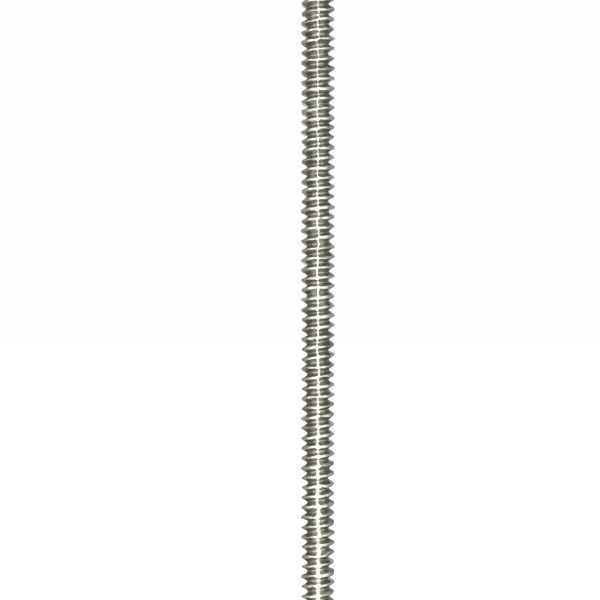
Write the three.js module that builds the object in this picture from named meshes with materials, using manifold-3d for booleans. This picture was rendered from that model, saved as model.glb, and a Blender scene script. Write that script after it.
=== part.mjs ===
// Threaded rod: one straight steel bar with a continuous right-hand screw thread from end to end.
// Millimetres, +Z up. The bar's axis is the Z axis, and its lower end face lies in the plane z = 0.

import * as THREE from "three";
import { mergeVertices } from "three/addons/utils/BufferGeometryUtils.js";
import Module from "manifold-3d";

const wasm = await Module();
wasm.setup();

// Driving dimensions
const LENGTH = 150; // over both end faces
const MAJOR_DIAMETER = 8; // over the thread's crests
const PITCH = 2.37; // crest to crest; the thread has one start, so this is its lead too
const FLANK_ANGLE = THREE.MathUtils.degToRad(60); // between the two flanks of a groove
const CREST_FLAT = 0.23 * PITCH; // width of the flat along the top of the ridge
const ROOT_FLAT = 0.13 * PITCH; // width of the flat along the bottom of the groove
const CHAMFER_BELOW_ROOT = 0.15; // how far inside the groove's bottom the end chamfer starts
const SEGMENTS_PER_TURN = 20;
const SPARE_TURNS = 2; // made beyond each end face, and cut away
const TRIM_CLEARANCE = 1; // between the crests and the side of the cutting envelope
const MERGE_TOLERANCE = 1e-4;

// Worked out from them
const crestRadius = MAJOR_DIAMETER / 2;
const flankWidth = (PITCH - CREST_FLAT - ROOT_FLAT) / 2; // along the axis, one flank
const threadDepth = flankWidth / Math.tan(FLANK_ANGLE / 2);
const rootRadius = crestRadius - threadDepth;
const endFaceRadius = rootRadius - CHAMFER_BELOW_ROOT;

// One pitch of the thread's section, going up the bar: the flat of the groove, then the ridge.
const section = [
  { radius: rootRadius, rise: 0 },
  { radius: rootRadius, rise: ROOT_FLAT },
  { radius: crestRadius, rise: ROOT_FLAT + flankWidth },
  { radius: crestRadius, rise: ROOT_FLAT + flankWidth + CREST_FLAT },
];

// The section swept along a right-hand helix for a whole number of turns. The last point of the
// section is joined to its first point one turn further on, so the surface winds round without a
// seam. Each end is closed by a fan about a point on the axis.
function helicalBar(turns, startHeight) {
  const points = section.length;
  const sweepSteps = (turns - 1) * SEGMENTS_PER_TURN;
  const positions = [];
  const triangles = [];

  // Vertex number of section point `point` at sweep step `step`.
  const vertex = (step, point) => step * points + point;

  // One turn more than is swept, because the last ridge comes down to the turn after it.
  for (let step = 0; step <= sweepSteps + SEGMENTS_PER_TURN; step++) {
    const angle = (2 * Math.PI * (step % SEGMENTS_PER_TURN)) / SEGMENTS_PER_TURN;
    const base = startHeight + (PITCH * step) / SEGMENTS_PER_TURN;
    for (const { radius, rise } of section) {
      positions.push(radius * Math.cos(angle), radius * Math.sin(angle), base + rise);
    }
  }

  const quad = (a, b, c, d) => triangles.push(a, b, c, a, c, d);
  for (let step = 0; step < sweepSteps; step++) {
    for (let point = 0; point < points - 1; point++) {
      quad(
        vertex(step, point),
        vertex(step + 1, point),
        vertex(step + 1, point + 1),
        vertex(step, point + 1),
      );
    }
    quad(
      vertex(step, points - 1),
      vertex(step + 1, points - 1),
      vertex(step + 1 + SEGMENTS_PER_TURN, 0),
      vertex(step + SEGMENTS_PER_TURN, 0),
    );
  }

  // An open end's edge: one turn round the groove, then back along the section to where it began.
  const endEdge = (firstStep) => {
    const edge = [];
    for (let step = 0; step <= SEGMENTS_PER_TURN; step++) edge.push(vertex(firstStep + step, 0));
    for (let point = points - 1; point > 0; point--) edge.push(vertex(firstStep, point));
    return edge;
  };
  const fan = (edge, height, facingUp) => {
    const centre = positions.length / 3;
    positions.push(0, 0, height);
    edge.forEach((from, i) => {
      const to = edge[(i + 1) % edge.length];
      if (facingUp) triangles.push(centre, from, to);
      else triangles.push(centre, to, from);
    });
  };
  fan(endEdge(0), startHeight, false);
  fan(endEdge(sweepSteps), startHeight + turns * PITCH, true);

  const geometry = new THREE.BufferGeometry();
  geometry.setAttribute("position", new THREE.Float32BufferAttribute(positions, 3));
  geometry.setIndex(triangles);
  return geometry;
}

// The space that the finished bar keeps to: a cylinder clear of the crests, with a 45 degree cone at
// each end that starts on the end face and runs out over the first ridge.
function trimEnvelope() {
  const clearRadius = crestRadius + TRIM_CLEARANCE;
  const coneHeight = clearRadius - endFaceRadius;
  const profile = [
    new THREE.Vector2(0, 0),
    new THREE.Vector2(endFaceRadius, 0),
    new THREE.Vector2(clearRadius, coneHeight),
    new THREE.Vector2(clearRadius, LENGTH - coneHeight),
    new THREE.Vector2(endFaceRadius, LENGTH),
    new THREE.Vector2(0, LENGTH),
  ];
  return new THREE.LatheGeometry(profile, SEGMENTS_PER_TURN).rotateX(Math.PI / 2);
}

function solidOf(geometry) {
  const bare = geometry.clone();
  bare.deleteAttribute("normal");
  bare.deleteAttribute("uv");
  const merged = mergeVertices(bare, MERGE_TOLERANCE);
  return new wasm.Manifold(
    new wasm.Mesh({
      numProp: 3,
      vertProperties: merged.attributes.position.array,
      triVerts: new Uint32Array(merged.index.array),
    }),
  );
}

function geometryOf(solid) {
  const { vertProperties, triVerts } = solid.getMesh();
  const geometry = new THREE.BufferGeometry();
  geometry.setAttribute("position", new THREE.BufferAttribute(vertProperties, 3));
  geometry.setIndex(new THREE.BufferAttribute(triVerts, 1));
  geometry.computeVertexNormals();
  return geometry;
}

// The thread is made too long at each end, then cut to length and chamfered in one.
function threadedRodGeometry() {
  const turns = Math.ceil(LENGTH / PITCH) + 2 * SPARE_TURNS;
  const thread = solidOf(helicalBar(turns, -SPARE_TURNS * PITCH));
  return geometryOf(thread.intersect(solidOf(trimEnvelope())));
}

const brightSteel = new THREE.MeshStandardMaterial({
  color: new THREE.Color(0.62, 0.62, 0.6),
  roughness: 0.28,
  metalness: 1,
});

const threadedRod = new THREE.Mesh(threadedRodGeometry(), brightSteel);
threadedRod.name = "threaded_rod";

const rod = new THREE.Group();
rod.add(threadedRod);

export default rod;
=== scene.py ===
"""Threaded rod: a bright steel bar with a coarse screw thread, in a plain white studio.

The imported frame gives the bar's length, width and place. This add-on turns the fine thread on it,
trims and chamfers the ends, gives it its steel, and sets up the studio.
"""

import math

import bmesh
import bpy
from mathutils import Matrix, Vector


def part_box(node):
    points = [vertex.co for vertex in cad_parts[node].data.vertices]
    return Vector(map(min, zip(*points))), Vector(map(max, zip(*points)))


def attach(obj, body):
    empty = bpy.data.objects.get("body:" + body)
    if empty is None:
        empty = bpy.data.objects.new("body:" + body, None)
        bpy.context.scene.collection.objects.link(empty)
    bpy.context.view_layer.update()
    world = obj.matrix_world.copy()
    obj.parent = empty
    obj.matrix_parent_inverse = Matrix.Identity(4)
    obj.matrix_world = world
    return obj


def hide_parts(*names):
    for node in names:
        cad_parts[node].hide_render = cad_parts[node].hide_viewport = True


bl_info = {
    "name": "Threaded Rod",
    "version": (1, 0, 0),
    "blender": (4, 5, 0),
    "location": "3D View > Sidebar > Threaded Rod",
    "description": "Turns a fine screw thread on a bar and sets up a white studio round it",
    "category": "Add Mesh",
}

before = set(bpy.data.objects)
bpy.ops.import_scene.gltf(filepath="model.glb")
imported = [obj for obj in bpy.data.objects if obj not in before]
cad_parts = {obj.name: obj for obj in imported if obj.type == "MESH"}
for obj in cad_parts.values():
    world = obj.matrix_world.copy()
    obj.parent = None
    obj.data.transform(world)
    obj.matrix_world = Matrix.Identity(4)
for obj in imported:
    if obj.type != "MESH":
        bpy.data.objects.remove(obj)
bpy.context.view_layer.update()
BAR_NODE = "threaded_rod"
BAR_LOW, BAR_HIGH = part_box(BAR_NODE)

MM = 0.001
FULL_TURN = 2 * math.pi
TINY = 1e-6  # two places nearer than this are the same place

# Sockets of the Mix node for colours, which share their names with those for numbers.
MIX_FIRST = 6
MIX_SECOND = 7
MIX_RESULT = 2


# ---------------------------------------------------------------------------------------------
# Sizes and colours that a user would change


class RodSizes(bpy.types.PropertyGroup):
    """Sizes of the bar and its thread"""

    length: bpy.props.FloatProperty(
        name="Length",
        description="Over both end faces",
        default=BAR_HIGH.z - BAR_LOW.z,
        min=0.01,
        unit="LENGTH",
    )
    major_diameter: bpy.props.FloatProperty(
        name="Major diameter",
        description="Over the thread's crests",
        default=BAR_HIGH.x - BAR_LOW.x,
        min=0.002,
        unit="LENGTH",
    )
    pitch: bpy.props.FloatProperty(
        name="Pitch",
        description="From one crest to the next along the bar",
        default=2.37 * MM,
        min=0.0004,
        precision=5,
        unit="LENGTH",
    )
    flank_angle: bpy.props.FloatProperty(
        name="Flank angle",
        description="Between the two flanks of a groove",
        default=math.radians(60),
        subtype="ANGLE",
    )
    crest_share: bpy.props.FloatProperty(
        name="Crest flat",
        description="Width of the ridge's top as a share of the pitch, before it is rounded",
        default=0.23,
        subtype="FACTOR",
    )
    root_share: bpy.props.FloatProperty(
        name="Root flat",
        description="Width of the groove's bottom as a share of the pitch, before it is rounded",
        default=0.13,
        subtype="FACTOR",
    )
    crest_rounding: bpy.props.FloatProperty(
        name="Crest rounding",
        description="How far the ridge's corners are rounded back, as a share of the pitch",
        default=0.05,
        subtype="FACTOR",
    )
    root_rounding: bpy.props.FloatProperty(
        name="Root rounding",
        description="How far the groove's corners are filled, as a share of the pitch",
        default=0.05,
        subtype="FACTOR",
    )
    chamfer_below_root: bpy.props.FloatProperty(
        name="Chamfer below root",
        description="How far inside the groove's bottom the end chamfers start",
        default=0.15 * MM,
        precision=5,
        unit="LENGTH",
    )
    unevenness: bpy.props.FloatProperty(
        name="Unevenness",
        description="How far the thread wanders from its true shape, from side to side",
        default=0.5 * MM,
        precision=5,
        unit="LENGTH",
    )
    dent_depth: bpy.props.FloatProperty(
        name="Dent depth",
        description="Of the small dents that handling leaves in the crests",
        default=0.09 * MM,
        precision=5,
        unit="LENGTH",
    )
    turn_steps: bpy.props.IntProperty(
        name="Steps in a turn",
        description="Faces round one turn of the thread",
        default=64,
        min=12,
    )


class SteelColours(bpy.types.PropertyGroup):
    """Colours and polish of the steel"""

    # Crest, flank and root are one steel in a lighter copy and two darker copies: the darker flank
    # and root colours are painted shade in the groove.
    crest: bpy.props.FloatVectorProperty(
        name="Crest",
        description="Bright steel on the crests",
        default=(0.88, 0.875, 0.85),
        subtype="COLOR",
    )
    # Painted shade: the flanks' steel is coloured darker than the crest's to stand for the shade in
    # the groove.
    flank: bpy.props.FloatVectorProperty(
        name="Flank",
        description="Dull, slightly oily steel on the sides of the groove",
        default=(0.477, 0.472, 0.434),
        subtype="COLOR",
    )
    # Painted shade: the groove's bottom is coloured darker than the crest's steel to stand for the
    # shade there.
    root: bpy.props.FloatVectorProperty(
        name="Root",
        description="Steel at the bottom of the groove",
        default=(0.50, 0.49, 0.455),
        subtype="COLOR",
    )
    stain: bpy.props.FloatVectorProperty(
        name="Stain",
        description="Faint brown left by old oil in a few places",
        default=(0.37, 0.30, 0.25),
        subtype="COLOR",
    )
    roughness: bpy.props.FloatProperty(
        name="Roughness",
        description="Of the bright crests",
        default=0.16,
        subtype="FACTOR",
    )


class StudioSetup(bpy.types.PropertyGroup):
    """Camera, lights and floor"""

    camera_distance: bpy.props.FloatProperty(
        name="Camera distance",
        description="Level distance from the bar's axis to the lens",
        default=0.478,
        unit="LENGTH",
    )
    camera_height: bpy.props.FloatProperty(
        name="Camera height",
        description="Height of the lens over the bar's lower end",
        default=0.07606,
        unit="LENGTH",
    )
    field_of_view: bpy.props.FloatProperty(
        name="Field of view",
        description="Of the square picture",
        default=math.radians(17.15),
        subtype="ANGLE",
    )
    sideways: bpy.props.FloatProperty(
        name="Sideways",
        description="How far the lens stands to the left of the bar",
        default=4.3 * MM,
        precision=5,
        unit="LENGTH",
    )
    room_brightness: bpy.props.FloatProperty(
        name="Room",
        description="Brightness of the grey room that the steel reflects",
        default=0.32,
    )
    softbox_brightness: bpy.props.FloatProperty(
        name="Softbox",
        description="Brightness of the wide soft light in front",
        default=1.05,
    )
    strip_brightness: bpy.props.FloatProperty(
        name="Strip",
        description="Brightness of the narrow upright light in the middle of the front",
        default=8.0,
    )
    strip_distance: bpy.props.FloatProperty(
        name="Strip distance",
        description="From the bar's axis to the narrow upright light",
        default=5.2 * MM,
        precision=5,
        unit="LENGTH",
    )
    strip_half_width: bpy.props.FloatProperty(
        name="Strip half width",
        description="Half the width of the narrow upright light, level with the lens",
        default=0.54 * MM,
        precision=5,
        unit="LENGTH",
    )
    back_brightness: bpy.props.FloatProperty(
        name="Back light",
        description="Brightness of the soft light behind",
        default=0.6,
    )
    top_brightness: bpy.props.FloatProperty(
        name="Top light",
        description="Brightness of the soft light overhead",
        default=0.6,
    )


# ---------------------------------------------------------------------------------------------
# Node expressions


class Signal:
    """A node socket in an expression: arithmetic on it adds Math nodes to its tree."""

    def __init__(self, tree, socket=None):
        self.tree = tree
        self.socket = socket

    def node(self, kind, settings=None, inputs=None, output=0):
        """Adds a node, sets it, feeds its inputs with values or signals and gives an output."""
        made = self.tree.nodes.new(kind)
        for name, value in (settings or {}).items():
            setattr(made, name, value)
        for name, value in (inputs or {}).items():
            socket = made.inputs[name]
            if isinstance(value, Signal):
                self.tree.links.new(value.socket, socket)
            else:
                socket.default_value = value
        return Signal(self.tree, made.outputs[output]) if made.outputs else made

    def output(self, name):
        """Another output of the node that this signal comes from."""
        return Signal(self.tree, self.socket.node.outputs[name])

    def maths(self, operation, *others):
        """A Math node on this signal and the others."""
        values = {i: value for i, value in enumerate((self, *others))}
        return self.node("ShaderNodeMath", {"operation": operation}, values)

    def reflected(self, operation, other):
        """The same with this signal second, as in 1 - mask."""
        settings = {"operation": operation}
        return self.node("ShaderNodeMath", settings, {0: other, 1: self})

    def __add__(self, other):
        return self.maths("ADD", other)

    def __sub__(self, other):
        return self.maths("SUBTRACT", other)

    def __mul__(self, other):
        return self.maths("MULTIPLY", other)

    def __truediv__(self, other):
        return self.maths("DIVIDE", other)

    def __pow__(self, other):
        return self.maths("POWER", other)

    def __rsub__(self, other):
        return self.reflected("SUBTRACT", other)

    def __rtruediv__(self, other):
        return self.reflected("DIVIDE", other)

    __radd__ = __add__
    __rmul__ = __mul__

    def ramp(self, low, high):
        """0 where this is at or under low, 1 at or over high, and smooth between."""
        settings = {"interpolation_type": "SMOOTHSTEP"}
        inputs = {"Value": self, "From Min": low, "From Max": high}
        return self.node("ShaderNodeMapRange", settings, inputs)

    def mix_colours(self, first, second):
        """The first colour where this is 0 and the second where it is 1."""
        inputs = {"Factor": self, MIX_FIRST: opaque(first), MIX_SECOND: opaque(second)}
        return self.node("ShaderNodeMix", {"data_type": "RGBA"}, inputs, output=MIX_RESULT)

    def scale_colour(self, colour, factor):
        """A colour made darker or lighter by a number."""
        inputs = {0: colour, "Scale": factor}
        return self.node("ShaderNodeVectorMath", {"operation": "SCALE"}, inputs)


def opaque(colour):
    """A colour with full alpha, for sockets that need one."""
    return colour if isinstance(colour, Signal) else (*colour, 1)


# ---------------------------------------------------------------------------------------------
# Edit mode helpers


def deselect_all():
    bpy.ops.object.select_all(action="DESELECT")


def make_active(obj):
    deselect_all()
    obj.select_set(True)
    bpy.context.view_layer.objects.active = obj


def select_vertices(obj, wanted):
    """In edit mode, selects the vertices whose place passes the test, and what they span."""
    bpy.ops.mesh.select_mode(type="VERT")
    bpy.ops.mesh.select_all(action="DESELECT")
    mesh = bmesh.from_edit_mesh(obj.data)
    for vertex in mesh.verts:
        vertex.select = wanted(vertex.co)
    mesh.select_flush(True)
    bmesh.update_edit_mesh(obj.data)


def select_edges(obj, wanted):
    """In edit mode, selects the edges that pass the test."""
    bpy.ops.mesh.select_mode(type="EDGE")
    bpy.ops.mesh.select_all(action="DESELECT")
    mesh = bmesh.from_edit_mesh(obj.data)
    for edge in mesh.edges:
        edge.select = wanted(edge)
    bmesh.update_edit_mesh(obj.data)


def apply_modifier(obj, kind, **settings):
    """Adds a modifier with these settings and applies it."""
    modifier = obj.modifiers.new(kind.lower(), kind)
    for name, value in settings.items():
        setattr(modifier, name, value)
    make_active(obj)
    bpy.ops.object.modifier_apply(modifier=modifier.name)


# ---------------------------------------------------------------------------------------------
# Steel


def steel_material(sizes, colours):
    """Bright turned steel with marks that run with the thread; the grooves are coloured darker than
    the crests, as painted shade.
    """
    material = bpy.data.materials.new("bright_turned_steel")
    material.use_nodes = True
    tree = material.node_tree
    tree.nodes.clear()
    start = Signal(tree)

    crest_radius = sizes.major_diameter / 2
    depth = thread_depth(sizes)

    place = start.node("ShaderNodeTexCoord", output="Object")
    x = start.node("ShaderNodeSeparateXYZ", inputs={"Vector": place})
    y, z = x.output("Y"), x.output("Z")
    radius = (x * x + y * y) ** 0.5
    turn = y.maths("ARCTAN2", x) / FULL_TURN
    section_angle = (z / sizes.pitch - turn) * FULL_TURN
    down = (crest_radius - radius) / depth

    def noise(vector, scale, detail=2.0, roughness=0.5):
        inputs = {"Vector": vector, "Scale": scale, "Detail": detail, "Roughness": roughness}
        return start.node("ShaderNodeTexNoise", inputs=inputs)

    def vector(a, b, c):
        return start.node("ShaderNodeCombineXYZ", inputs={"X": a, "Y": b, "Z": c})

    # Lines that run with the thread: fast across the section, slow along the bar and round it.
    across_bar = 4 * MM
    up_bar = 9 * MM
    along = vector(
        section_angle.maths("COSINE") + x / across_bar,
        section_angle.maths("SINE") + y / across_bar,
        z / up_bar,
    )
    lines = noise(along, 7.0, detail=4.0, roughness=0.7)
    # Short marks across the thread: fast round the bar, slow up it.
    mark_length = 3 * MM
    across = vector(x / radius, y / radius, z / mark_length)
    chatter = noise(across, 13.0)
    # Patches in the steel's colour, from large ones to fine grain, in cells to the metre.
    stains = noise(place, 75.0, detail=3.0).ramp(0.6, 0.72)
    blotches = noise(place, 420.0, detail=3.0)
    grain = noise(place, 2600.0)

    # Where the groove and its bottom begin, from 0 at the crest to 1 at the root; the groove is
    # coloured darker there, as painted shade.
    groove = down.ramp(0.04, 0.16)
    bottom = down.ramp(0.8, 0.95)
    mottle = (0.88 + 0.24 * blotches) * (0.9 + 0.2 * grain) * (0.9 + 0.2 * chatter)
    # Painted shade: the flank and root colours are darker than the crest's and stand for the shade
    # in the groove; the mottle on them is random tone.
    flank = start.scale_colour(colours.flank, mottle)
    root = start.scale_colour(colours.root, mottle)
    stain_strength = 0.45
    stained_shaded_flank = (stains * stain_strength).mix_colours(flank, colours.stain)
    # Painted shade in the groove, with real stains on the flanks; the crests keep the lighter
    # steel.
    shaded_groove = bottom.mix_colours(stained_shaded_flank, root)
    colour = groove.mix_colours(colours.crest, shaded_groove)
    duller_groove = 0.03
    uneven = 0.16 * (lines - 0.5) + 0.1 * (blotches - 0.5) + 0.06 * (grain - 0.5)
    roughness = colours.roughness + duller_groove * groove + uneven
    height = lines * 0.006 + chatter * 0.002
    normal = start.node(
        "ShaderNodeBump",
        inputs={"Strength": 0.6, "Distance": 1 * MM, "Height": height},
    )
    steel = start.node(
        "ShaderNodeBsdfPrincipled",
        inputs={
            "Base Color": colour,
            "Metallic": 1.0,
            "Roughness": roughness,
            "Specular Tint": (0.86, 0.86, 0.84, 1),
            "Anisotropic": 0.7,
            "Anisotropic Rotation": 0.25,
            "Normal": normal,
        },
    )
    start.node("ShaderNodeOutputMaterial", inputs={"Surface": steel})
    return material


# ---------------------------------------------------------------------------------------------
# The bar


def thread_depth(sizes):
    """From crest to root, from the two flats and the flank angle."""
    flank_width = sizes.pitch * (1 - sizes.crest_share - sizes.root_share) / 2
    return flank_width / math.tan(sizes.flank_angle / 2)


def thread_section(sizes):
    """One pitch of the thread's outline, from mid groove to mid groove, with rounded corners."""
    pitch = sizes.pitch
    depth = thread_depth(sizes)
    crest_radius = sizes.major_diameter / 2
    half_root = pitch * sizes.root_share / 2
    flank = pitch * (1 - sizes.crest_share - sizes.root_share) / 2

    deselect_all()
    bpy.ops.mesh.primitive_plane_add(size=pitch, location=(crest_radius - depth, 0, 0))
    section = bpy.context.object
    bpy.ops.object.transform_apply(location=True, rotation=True, scale=True)
    bpy.ops.object.mode_set(mode="EDIT")
    bpy.ops.mesh.select_all(action="SELECT")
    bpy.ops.mesh.merge(type="CENTER")
    for step in (
        (0, 0, half_root),
        (depth, 0, flank),
        (0, 0, pitch * sizes.crest_share),
        (-depth, 0, flank),
        (0, 0, half_root),
    ):
        bpy.ops.mesh.extrude_vertices_move(TRANSFORM_OT_translate={"value": step})

    select_vertices(section, lambda place: place.x > crest_radius - depth / 2)
    round_corners(pitch * sizes.crest_rounding)
    ends = (half_root / 2, pitch - half_root / 2)
    select_vertices(
        section,
        lambda place: place.x < crest_radius - depth / 2 and ends[0] < place.z < ends[1],
    )
    round_corners(pitch * sizes.root_rounding)
    bpy.ops.object.mode_set(mode="OBJECT")
    return section


def round_corners(offset):
    """Rounds the selected corners of an outline, starting this far from each."""
    bpy.ops.mesh.bevel(affect="VERTICES", offset_type="OFFSET", offset=offset, segments=4)


def sweep_thread(section, sizes):
    """Winds the section up a right-hand helix, longer than the bar, and closes both ends."""
    spare_turns = 2
    turns = math.ceil(sizes.length / sizes.pitch) + 2 * spare_turns - 1
    start_height = sizes.pitch * (sizes.root_share / 2 - spare_turns)
    make_active(section)
    bpy.ops.transform.translate(value=(0, 0, start_height))
    bpy.ops.object.transform_apply(location=True, rotation=True, scale=True)
    apply_modifier(
        section,
        "SCREW",
        axis="Z",
        screw_offset=sizes.pitch,
        iterations=turns,
        steps=sizes.turn_steps,
        render_steps=sizes.turn_steps,
    )
    bpy.ops.object.mode_set(mode="EDIT")
    bpy.ops.mesh.select_all(action="SELECT")
    bpy.ops.mesh.remove_doubles(threshold=TINY)
    middle = sizes.length / 2
    for above in (False, True):
        select_edges(
            section,
            lambda edge: edge.is_boundary and (edge.verts[0].co.z > middle) == above,
        )
        bpy.ops.mesh.extrude_edges_move()
        bpy.ops.mesh.merge(type="CENTER")
    bpy.ops.mesh.select_all(action="SELECT")
    bpy.ops.mesh.normals_make_consistent(inside=False)
    bpy.ops.object.mode_set(mode="OBJECT")


def turned_blank(sizes):
    """The shape that the rod is trimmed to: a cylinder just over the crests, coned at its ends."""
    clearance = 0.1 * MM
    radius = sizes.major_diameter / 2 + clearance
    face_radius = sizes.major_diameter / 2 - thread_depth(sizes) - sizes.chamfer_below_root
    deselect_all()
    bpy.ops.mesh.primitive_cylinder_add(
        vertices=2 * sizes.turn_steps,
        radius=radius,
        depth=sizes.length,
        location=(0, 0, BAR_LOW.z + sizes.length / 2),
    )
    blank = bpy.context.object
    bpy.ops.object.transform_apply(location=True, rotation=True, scale=True)
    bpy.ops.object.mode_set(mode="EDIT")
    select_edges(
        blank,
        lambda edge: abs(edge.verts[0].co.z - edge.verts[1].co.z) < TINY,
    )
    bpy.ops.mesh.bevel(affect="EDGES", offset=radius - face_radius, segments=1)
    bpy.ops.object.mode_set(mode="OBJECT")
    return blank


def cloud_pattern(name, grain, contrast=1.0, brightness=1.0):
    """A smooth random pattern from 0 to 1, with patches of about the grain's size."""
    pattern = bpy.data.textures.new(name, "CLOUDS")
    pattern.noise_scale = grain
    pattern.noise_depth = 1
    pattern.use_clamp = True
    pattern.contrast = contrast
    pattern.intensity = brightness
    return pattern


def displace(obj, pattern, direction, strength, middle=0.5, stretch=1.0, group=""):
    """Moves the surface by a pattern, which is stretched sideways but not along the bar."""
    deselect_all()
    bpy.ops.object.empty_add()
    space = bpy.context.object
    space.scale = (stretch, stretch, 1)
    bpy.context.view_layer.update()
    apply_modifier(
        obj,
        "DISPLACE",
        texture=pattern,
        texture_coords="OBJECT",
        texture_coords_object=space,
        direction=direction,
        mid_level=middle,
        strength=strength,
        vertex_group=group,
    )
    bpy.data.objects.remove(space)


def wear_thread(rod, sizes):
    """Leaves the thread slightly uneven, as rolled thread is, with small dents in its crests."""
    crest_radius = sizes.major_diameter / 2
    near_top = crest_radius - thread_depth(sizes) / 4
    make_active(rod)
    rod.vertex_groups.new(name="crests")
    bpy.ops.object.mode_set(mode="EDIT")
    select_vertices(rod, lambda place: math.hypot(place.x, place.y) > near_top)
    bpy.ops.object.vertex_group_assign()
    bpy.ops.object.mode_set(mode="OBJECT")
    uneven = cloud_pattern("uneven_rolling", grain=1.1 * MM)
    displace(rod, uneven, "NORMAL", sizes.unevenness, middle=0.55, stretch=4.0)
    wander = cloud_pattern("wandering_helix", grain=1.6 * MM)
    displace(rod, wander, "Z", sizes.unevenness, stretch=2.5)
    dents = cloud_pattern("handling_dents", grain=0.6 * MM, contrast=5.0, brightness=2.0)
    displace(rod, dents, "NORMAL", sizes.dent_depth, middle=1.0, stretch=1.6, group="crests")
    rod.vertex_groups.clear()


class MESH_OT_turn_threaded_rod(bpy.types.Operator):
    """Turns the fine thread, trims and chamfers the ends and gives the bar its steel"""

    bl_idname = "mesh.turn_threaded_rod"
    bl_label = "Turn Threaded Rod"
    bl_options = {"REGISTER", "UNDO"}

    def execute(self, context):
        sizes = context.scene.rod_sizes
        rod = thread_section(sizes)
        rod.name = "fine_threaded_rod"
        rod.data.name = rod.name
        sweep_thread(rod, sizes)
        wear_thread(rod, sizes)
        blank = turned_blank(sizes)
        apply_modifier(rod, "BOOLEAN", operation="INTERSECT", object=blank, solver="MANIFOLD")
        bpy.data.objects.remove(blank)
        if not rod.data.polygons:
            raise RuntimeError("the trimmed rod has no faces")
        make_active(rod)
        bpy.ops.object.shade_smooth_by_angle(angle=math.radians(28))
        rod.data.materials.clear()
        rod.data.materials.append(steel_material(sizes, context.scene.steel_colours))
        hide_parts(BAR_NODE)
        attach(rod, "root")
        return {"FINISHED"}


# ---------------------------------------------------------------------------------------------
# The studio


def floor_material():
    """Matt white that stays bright where little light reaches it."""
    material = bpy.data.materials.new("white_floor")
    material.use_nodes = True
    tree = material.node_tree
    tree.nodes.clear()
    start = Signal(tree)
    paint = start.node(
        "ShaderNodeBsdfPrincipled",
        inputs={
            "Base Color": (0.8, 0.8, 0.8, 1),
            "Roughness": 0.9,
            "Emission Color": (1, 1, 1, 1),
            "Emission Strength": 0.9,
        },
    )
    start.node("ShaderNodeOutputMaterial", inputs={"Surface": paint})
    return material


def strip_material(setup):
    """The strip's light: bright along its middle, soft at its edges and wider lower down."""
    material = bpy.data.materials.new("strip_light")
    material.use_nodes = True
    tree = material.node_tree
    tree.nodes.clear()
    start = Signal(tree)
    place = start.node("ShaderNodeTexCoord", output="Object")
    x = start.node("ShaderNodeSeparateXYZ", inputs={"Vector": place})
    above_lens = x.output("Z") - (BAR_LOW.z + setup.camera_height)
    narrowing = 16.5  # how fast the width shrinks upwards, to the metre
    narrowest = 0.24 * MM
    widest = 2 * MM
    dimmest = 0.55  # the share of the light that is left low down
    half_width = setup.strip_half_width * (above_lens * -narrowing).maths("EXPONENT")
    half_width = half_width.maths("MAXIMUM", narrowest).maths("MINIMUM", widest)
    lit = (x.maths("ABSOLUTE") / half_width).ramp(1.0, 0.5)
    lit = lit * (dimmest + (1 - dimmest) * above_lens.ramp(-0.08, 0.02))
    clear = start.node("ShaderNodeBsdfTransparent")
    glow = start.node(
        "ShaderNodeEmission",
        inputs={"Color": (1, 0.995, 0.975, 1), "Strength": setup.strip_brightness},
    )
    both = start.node("ShaderNodeMixShader", inputs={0: lit, 1: clear, 2: glow})
    start.node("ShaderNodeOutputMaterial", inputs={"Surface": both})
    return material


def add_strip_light(setup):
    """A tall narrow light just in front of the bar, seen only as its reflection in the steel."""
    panel_width = 10 * MM
    panel_height = 0.4
    deselect_all()
    bpy.ops.mesh.primitive_plane_add(
        size=1,
        location=(0, -setup.strip_distance, BAR_LOW.z + setup.camera_height),
        rotation=(math.pi / 2, 0, 0),
    )
    strip = bpy.context.object
    strip.name = "strip_light"
    strip.scale = (panel_width, panel_height, 1)
    bpy.ops.object.transform_apply(location=True, rotation=True, scale=True)
    strip.data.materials.append(strip_material(setup))
    strip.visible_camera = False
    strip.visible_diffuse = False
    strip.visible_shadow = False


def studio_world(setup):
    """White all round to the camera; to the steel, a grey room with a big softbox in front."""
    world = bpy.data.worlds.new("white_studio")
    bpy.context.scene.world = world
    world.use_nodes = True
    tree = world.node_tree
    tree.nodes.clear()
    start = Signal(tree)

    direction = start.node("ShaderNodeTexCoord", output="Generated")
    x = start.node("ShaderNodeSeparateXYZ", inputs={"Vector": direction})
    y, z = x.output("Y"), x.output("Z")
    # How squarely a direction faces the front of the studio: 1 dead ahead, 0 at the sides.
    ahead = y * -1 / (x * x + y * y) ** 0.5
    level = z.maths("ABSOLUTE").ramp(0.7, 0.3)
    softbox = ahead.ramp(0.05, 0.95) * level * setup.softbox_brightness
    back = ahead.ramp(-0.9, -1.0) * setup.back_brightness
    top = z.ramp(0.6, 0.95) * setup.top_brightness
    light = start.scale_colour((1, 0.996, 0.95), setup.room_brightness + softbox + back + top)
    room = start.node("ShaderNodeBackground", inputs={"Color": light})
    near_white = 0.992
    seen = start.node(
        "ShaderNodeBackground", inputs={"Color": (1, 1, 1, 1), "Strength": near_white}
    )
    direct = start.node("ShaderNodeLightPath", output="Is Camera Ray")
    both = start.node("ShaderNodeMixShader", inputs={0: direct, 1: room, 2: seen})
    start.node("ShaderNodeOutputWorld", inputs={"Surface": both})


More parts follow.
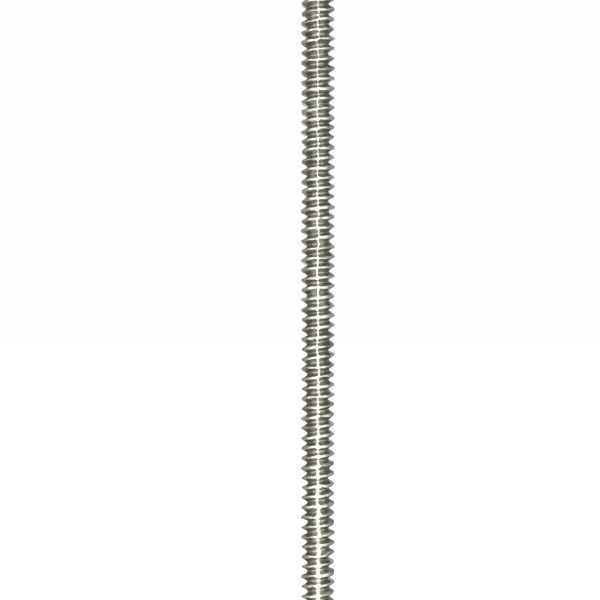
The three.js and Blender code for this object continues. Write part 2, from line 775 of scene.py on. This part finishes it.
class SCENE_OT_set_up_studio(bpy.types.Operator):
    """Sets up the white floor, the soft lights and the camera"""

    bl_idname = "scene.set_up_rod_studio"
    bl_label = "Set Up Studio"
    bl_options = {"REGISTER", "UNDO"}

    def execute(self, context):
        scene = context.scene
        setup = scene.studio_setup

        floor_side = 6
        deselect_all()
        bpy.ops.mesh.primitive_plane_add(size=floor_side, location=(0, 0, BAR_LOW.z))
        floor = context.object
        floor.name = "studio_floor"
        floor.data.materials.append(floor_material())
        floor.visible_glossy = False
        floor.visible_shadow = False

        deselect_all()
        bpy.ops.object.camera_add(
            location=(-setup.sideways, -setup.camera_distance, BAR_LOW.z + setup.camera_height),
            rotation=(math.pi / 2, 0, 0),
        )
        camera = context.object
        camera.name = "studio_camera"
        camera.data.sensor_width = 36
        camera.data.lens = camera.data.sensor_width / 2 / math.tan(setup.field_of_view / 2)
        camera.data.clip_start = 0.01
        camera.data.clip_end = 20
        scene.camera = camera

        add_strip_light(setup)
        studio_world(setup)
        scene.view_settings.view_transform = "Standard"
        return {"FINISHED"}


# ---------------------------------------------------------------------------------------------
# Panel, registration and the run


class VIEW3D_PT_threaded_rod(bpy.types.Panel):
    """The steps that build the rod and its studio"""

    bl_label = "Threaded Rod"
    bl_idname = "VIEW3D_PT_threaded_rod"
    bl_space_type = "VIEW_3D"
    bl_region_type = "UI"
    bl_category = "Threaded Rod"

    def draw(self, context):
        layout = self.layout
        for group in ("rod_sizes", "steel_colours", "studio_setup"):
            settings = getattr(context.scene, group)
            box = layout.box()
            for name in settings.bl_rna.properties.keys():
                if name not in ("name", "rna_type"):
                    box.prop(settings, name)
        for step in STEPS:
            layout.operator(step.bl_idname)


STEPS = (MESH_OT_turn_threaded_rod, SCENE_OT_set_up_studio)
CLASSES = (RodSizes, SteelColours, StudioSetup, *STEPS, VIEW3D_PT_threaded_rod)


def register():
    for item in CLASSES:
        bpy.utils.register_class(item)
    bpy.types.Scene.rod_sizes = bpy.props.PointerProperty(type=RodSizes)
    bpy.types.Scene.steel_colours = bpy.props.PointerProperty(type=SteelColours)
    bpy.types.Scene.studio_setup = bpy.props.PointerProperty(type=StudioSetup)


def unregister():
    del bpy.types.Scene.studio_setup
    del bpy.types.Scene.steel_colours
    del bpy.types.Scene.rod_sizes
    for item in reversed(CLASSES):
        bpy.utils.unregister_class(item)


def main():
    register()
    bpy.ops.mesh.turn_threaded_rod()
    bpy.ops.scene.set_up_rod_studio()


if __name__ == "__main__":
    main()
